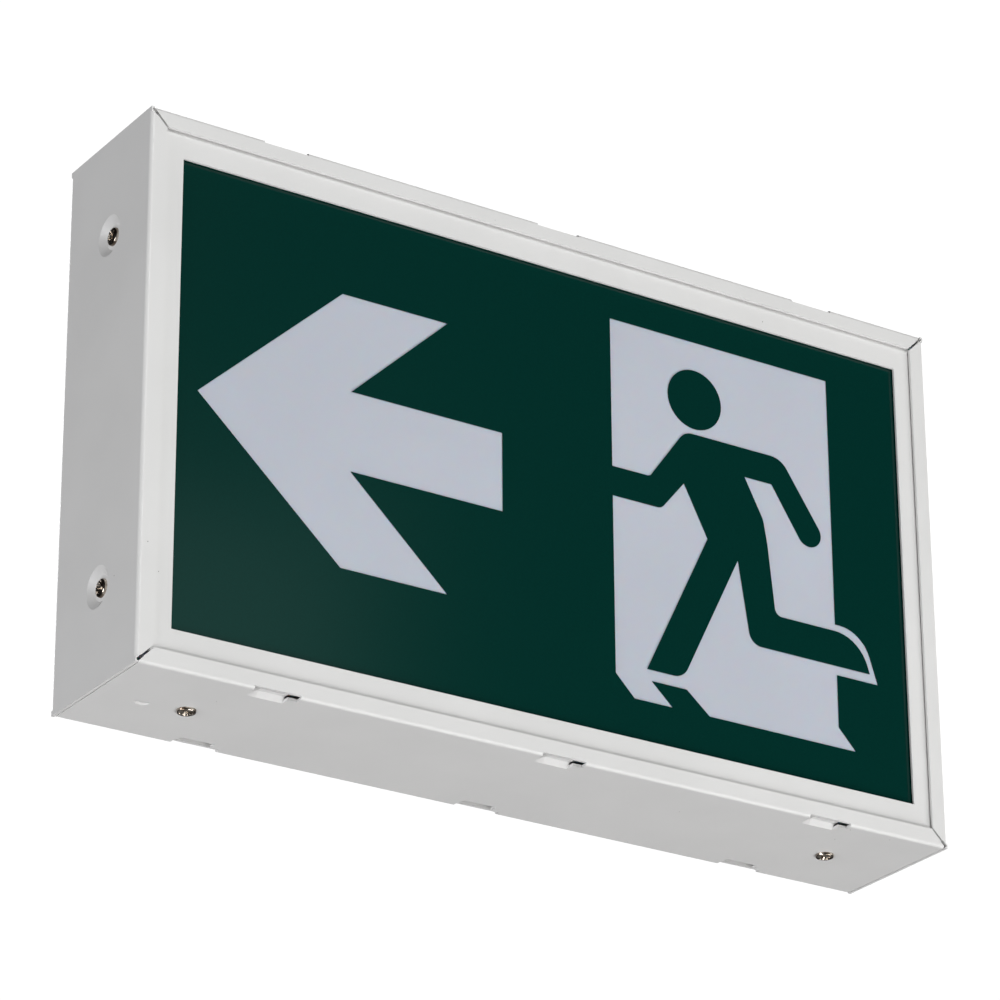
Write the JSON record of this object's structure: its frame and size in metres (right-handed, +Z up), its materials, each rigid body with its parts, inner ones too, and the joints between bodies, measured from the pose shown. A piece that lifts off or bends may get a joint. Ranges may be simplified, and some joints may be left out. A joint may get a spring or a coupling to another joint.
{
  "type": "emergency exit light",
  "caption": "Wall-mounted running-man emergency exit sign with an arrow, lit from behind, in a shallow folded steel housing.",
  "frame": {"origin": "centre of the wire entry, on the rear face of the rear plate", "axes": "+X along the sign, to the right as it is read; +Y into the wall; +Z up"},
  "size_m": [0.311, 0.054, 0.1942],
  "materials": {
    "housing_paint": "satin powder coat",
    "tray_paint": "matt white",
    "legend_green": "printed film, gloss",
    "opal_acrylic": "opal, gloss",
    "screw_nickel": "nickel plate",
    "zinc_steel": "zinc plate",
    "ground_green": "green dyed zinc",
    "tinned_brass": "tinned",
    "board_white": "white solder mask",
    "board_green": "green solder mask",
    "led_phosphor": "silicone",
    "natural_nylon": "moulded",
    "black_rubber": "matt",
    "case_plastic": "moulded",
    "dark_ferrite": "ferrite and tape",
    "capacitor_sleeve": "shrink sleeve",
    "white_jacket": "PVC",
    "black_jacket": "PVC",
    "green_jacket": "PVC"
  },
  "bodies": {
    "root": {"top_panel": "housing_paint", "bottom_panel": "housing_paint", "left_end_panel": "housing_paint", "right_end_panel": "housing_paint", "front_faceplate": "housing_paint", "back_plate": "housing_paint", "light_tray": "tray_paint", "legend_film": "legend_green", "diffuser_panel": "opal_acrylic", "side_screws": "screw_nickel", "panel_screws": "screw_nickel", "clinch_nuts": "zinc_steel", "upper_led_board": "board_white", "lower_led_board": "board_white", "upper_leds": "led_phosphor", "lower_leds": "led_phosphor", "board_rivets": "natural_nylon", "board_connectors": "natural_nylon", "lead_grommet": "black_rubber", "driver_case": "case_plastic", "driver_lid": "case_plastic", "driver_board": "board_green", "driver_transformer": "dark_ferrite", "driver_capacitor": "capacitor_sleeve", "driver_choke": "dark_ferrite", "terminal_block": "natural_nylon", "terminal_screws": "zinc_steel", "fixing_screws": "zinc_steel", "ground_screw": "ground_green", "ground_nut": "zinc_steel", "ground_terminal": "tinned_brass", "upper_board_lead": "white_jacket", "lower_board_lead": "white_jacket", "line_lead": "black_jacket", "neutral_lead": "white_jacket", "ground_lead": "green_jacket"}
  },
  "joints": []
}
